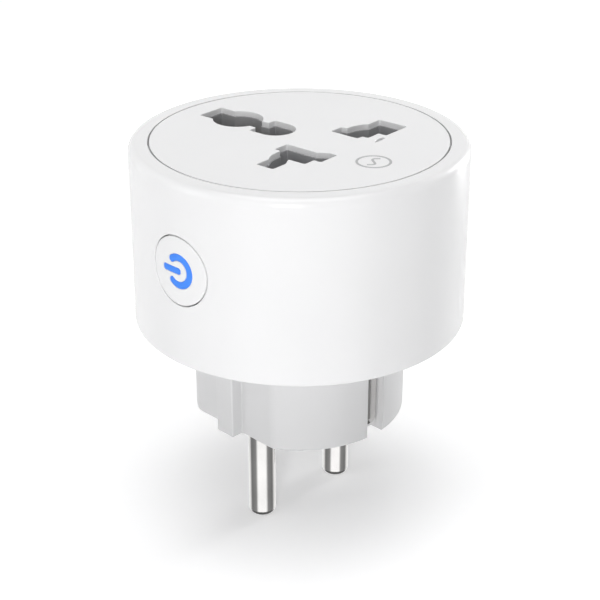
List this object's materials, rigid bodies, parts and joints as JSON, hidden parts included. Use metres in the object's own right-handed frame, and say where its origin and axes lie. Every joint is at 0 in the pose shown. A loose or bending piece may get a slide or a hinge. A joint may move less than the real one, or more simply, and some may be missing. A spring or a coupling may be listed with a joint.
{
  "type": "smart plug",
  "caption": "Round mains plug adapter with a universal socket on its face, a lit power button on its side and two round pins with side earth clips below.",
  "frame": {"origin": "centre of the plug's pin face, the flat face that the two pins stand in, midway between the pins", "axes": "+Z points from the pin face to the socket face, +X runs along the pin line and away from the power button, +Y points towards the earth aperture"},
  "size_m": [0.057, 0.057, 0.0689],
  "materials": {
    "shell": "satin gloss white",
    "cover": "fine matt white",
    "base": "satin white",
    "deck": "matt light grey",
    "housing": "matt natural",
    "shutter": "matt white",
    "button": "satin gloss white",
    "guide": "translucent blue, lit from behind",
    "nickel": "polished nickel plate",
    "brass": "bare brass",
    "steel": "zinc plated",
    "board": "green solder mask",
    "component": "black moulding compound",
    "relay": "blue case",
    "film": "yellow case",
    "ceramic": "blue dipped coating",
    "sleeve": "shrink sleeve"
  },
  "bodies": {
    "housing": {"outer_shell": "shell", "socket_cover": "cover", "shutter_deck": "deck", "deck_screw_1": "steel", "deck_screw_2": "steel", "contact_housing": "housing", "contact_lid": "housing", "live_contact": "brass", "neutral_contact": "brass", "earth_contact": "brass", "left_shutter_spring": "steel", "right_shutter_spring": "steel", "button_board": "board", "switch_body": "component", "indicator_lamp": "ceramic", "plug_base": "base", "case_screw_1": "steel", "case_screw_2": "steel", "case_screw_3": "steel", "live_pin": "nickel", "neutral_pin": "nickel", "live_busbar": "brass", "neutral_busbar": "brass", "earth_clip_front": "nickel", "earth_clip_rear": "nickel", "earth_strap": "brass", "power_board": "board", "relay": "relay", "film_capacitor": "film", "bridge_rectifier": "component", "converter_chip": "component", "metering_chip": "component", "shunt_resistor": "steel", "bulk_capacitor": "sleeve", "filter_inductor": "component", "fuse_resistor": "ceramic", "surge_varistor": "ceramic", "radio_board": "board", "radio_shield": "steel"},
    "button": {"power_button": "button", "light_guide": "guide"},
    "plunger": {"switch_plunger": "component"},
    "left_shutter": {"left_shutter": "shutter"},
    "right_shutter": {"right_shutter": "shutter"}
  },
  "joints": [
    {"name": "button_press", "type": "slide", "parent": "housing", "child": "button", "axis": [0.9987, 0.0506, 0], "range_m": [0, 0.0005], "stiffness_N_per_m": 3000, "springref_m": -0.0002},
    {"name": "plunger_travel", "type": "slide", "parent": "housing", "child": "plunger", "axis": [0.9987, 0.0506, 0], "range_m": [0, 0.0005]},
    {"name": "left_shutter_slide", "type": "slide", "parent": "housing", "child": "left_shutter", "axis": [-0.0872, 0.9962, 0], "range_m": [0, 0.0095], "stiffness_N_per_m": 60, "springref_m": -0.003, "deforming": ["left_shutter_spring"]},
    {"name": "right_shutter_slide", "type": "slide", "parent": "housing", "child": "right_shutter", "axis": [-0.0872, 0.9962, 0], "range_m": [0, 0.0085], "stiffness_N_per_m": 60, "springref_m": -0.003, "deforming": ["right_shutter_spring"]}
  ],
  "couplings": [
    {"joint": "plunger_travel", "follows": "button_press", "ratio": 1}
  ]
}
